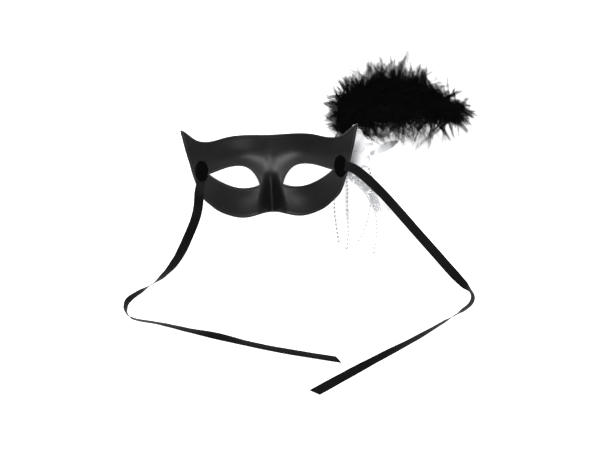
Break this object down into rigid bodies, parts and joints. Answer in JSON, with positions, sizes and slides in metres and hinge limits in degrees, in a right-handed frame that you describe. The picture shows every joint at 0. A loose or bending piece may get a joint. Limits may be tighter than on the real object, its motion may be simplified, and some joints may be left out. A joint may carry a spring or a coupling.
{
  "type": "masquerade half mask",
  "caption": "Half mask lying face down, with tying ribbons, a flower, a feather puff, lace and hanging bead strands on one wing.",
  "frame": {"origin": "foremost point of the nose, on the braid at its tip, where the mask rests on a table", "axes": "+X to the wearer's right, +Y towards the brows, +Z towards the wearer's face"},
  "size_m": [0.3855, 0.3573, 0.0508],
  "materials": {
    "lining": "satin weave, soft sheen",
    "shell": "moulded, matte",
    "front_cloth": "short pile",
    "braid": "metallic thread",
    "ribbon": "satin",
    "felt": "felt",
    "petal_satin": "satin",
    "petal_organza": "sheer, glossy",
    "gem": "faceted",
    "feather": "down",
    "quill": "horn",
    "binding": "waxed thread",
    "lace": "lace with sequins",
    "organza": "sheer",
    "beads": "metallised",
    "thread": "twisted"
  },
  "bodies": {
    "root": {"lining": "lining", "mask_shell": "shell", "front_cover": "front_cloth", "edge_braid": "braid", "eye_braid_left": "braid", "eye_braid_right": "braid", "ribbon_tab_left": "ribbon", "ribbon_tab_right": "ribbon", "patch_left": "felt", "patch_right": "felt", "ribbon_left": "ribbon", "ribbon_right": "ribbon", "petals_outer": "petal_satin", "petals_inner": "petal_organza", "flower_heart": "petal_satin", "flower_gem": "gem", "flower_pad": "felt", "feather_plume": "feather", "feather_quill": "quill", "feather_binding": "binding", "lace_leaf": "lace", "organza_tail": "organza", "organza_leaf": "organza"},
    "strand_1": {"strand_thread_1": "thread", "strand_beads_1": "beads"},
    "strand_2": {"strand_thread_2": "thread", "strand_beads_2": "beads"},
    "strand_3": {"strand_thread_3": "thread", "strand_beads_3": "beads"},
    "strand_4": {"strand_thread_4": "thread", "strand_beads_4": "beads"}
  },
  "joints": [
    {"name": "strand_1_swing", "type": "hinge", "parent": "root", "child": "strand_1", "pos_m": [0.072, 0.038, 0.0155], "axis": [0, 0, 1], "range_deg": [-25, 0]},
    {"name": "strand_2_swing", "type": "hinge", "parent": "root", "child": "strand_2", "pos_m": [0.0786, 0.035, 0.0165], "axis": [0, 0, 1], "range_deg": [-4, 1]},
    {"name": "strand_3_swing", "type": "hinge", "parent": "root", "child": "strand_3", "pos_m": [0.0832, 0.0336, 0.0146], "axis": [0, 0, 1], "range_deg": [-3, 2]},
    {"name": "strand_4_swing", "type": "hinge", "parent": "root", "child": "strand_4", "pos_m": [0.096, 0.055, 0.0204], "axis": [0, 0, 1], "range_deg": [-3, 6]}
  ]
}
